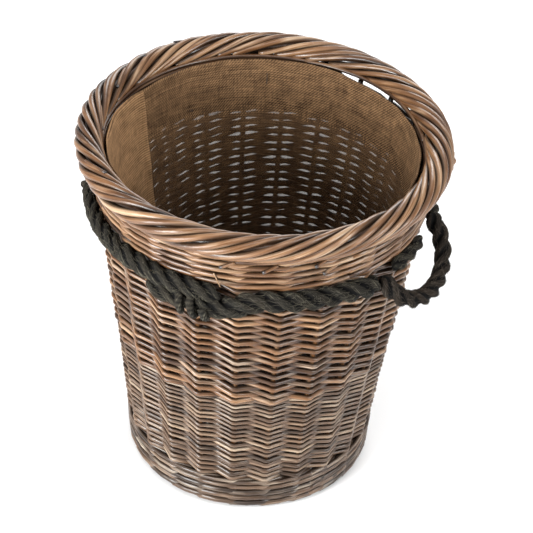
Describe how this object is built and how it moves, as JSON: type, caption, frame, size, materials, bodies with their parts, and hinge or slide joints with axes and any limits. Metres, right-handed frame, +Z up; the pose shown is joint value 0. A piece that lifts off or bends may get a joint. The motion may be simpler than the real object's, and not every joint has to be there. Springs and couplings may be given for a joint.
{
  "type": "wicker log basket",
  "caption": "Tall round woven willow log basket with a rolled border, hessian lining and a thick rope round the body with two loop handles.",
  "frame": {"origin": "centre of the foot on the floor", "axes": "+Z up, the two rope handles on +X and -X, front on -Y"},
  "size_m": [0.4866, 0.467, 0.5],
  "materials": {
    "weave_willow": "split and whole willow rods, brown with a thin whitish wash, satin",
    "border_willow": "thick willow rods, brown to tan, lightly glossy with pale streaks",
    "stake_willow": "greyish brown willow rods",
    "base_willow": "brown willow, matte",
    "hessian": "coarse brown jute hessian, plain weave",
    "hem_hessian": "doubled jute hessian, lighter",
    "dark_thread": "dark sewing thread",
    "band_rope": "three-strand twisted rope, charcoal with grey-green fibres",
    "handle_rope": "three-strand twisted rope, charcoal brown"
  },
  "bodies": {
    "basket": {"base_sticks_cross": "base_willow", "base_sticks_long": "base_willow", "base_weave": "base_willow", "border": "border_willow", "foot_border": "weave_willow", "lining_base": "hessian", "lining_hem": "hem_hessian", "lining_seam": "hem_hessian", "lining_wall": "hessian", "lower_weave": "weave_willow", "rope_back": "band_rope", "rope_front": "band_rope", "rope_left": "band_rope", "rope_stub_left": "band_rope", "rope_stub_right": "band_rope", "rope_wrap": "band_rope", "stake_01": "stake_willow", "stake_02": "stake_willow", "stake_03": "stake_willow", "stake_04": "stake_willow", "stake_05": "stake_willow", "stake_06": "stake_willow", "stake_07": "stake_willow", "stake_08": "stake_willow", "stake_09": "stake_willow", "stake_10": "stake_willow", "stake_11": "stake_willow", "stake_12": "stake_willow", "stake_13": "stake_willow", "stake_14": "stake_willow", "stake_15": "stake_willow", "stake_16": "stake_willow", "stake_17": "stake_willow", "stake_18": "stake_willow", "stake_19": "stake_willow", "stake_20": "stake_willow", "stake_21": "stake_willow", "stake_22": "stake_willow", "stake_23": "stake_willow", "stake_24": "stake_willow", "stitches": "dark_thread", "top_wale": "weave_willow", "upper_weave": "weave_willow", "upsett_wale": "weave_willow"},
    "right_handle": {"handle_right": "handle_rope"},
    "left_handle": {"handle_left": "handle_rope"}
  },
  "joints": [
    {"name": "right_handle_swing", "type": "hinge", "parent": "basket", "child": "right_handle", "pos_m": [0.2055, 0, 0.393], "axis": [0, 1, 0], "range_deg": [-104, 25]},
    {"name": "left_handle_swing", "type": "hinge", "parent": "basket", "child": "left_handle", "pos_m": [-0.2055, 0, 0.393], "axis": [0, -1, 0], "range_deg": [-126, 3]}
  ]
}
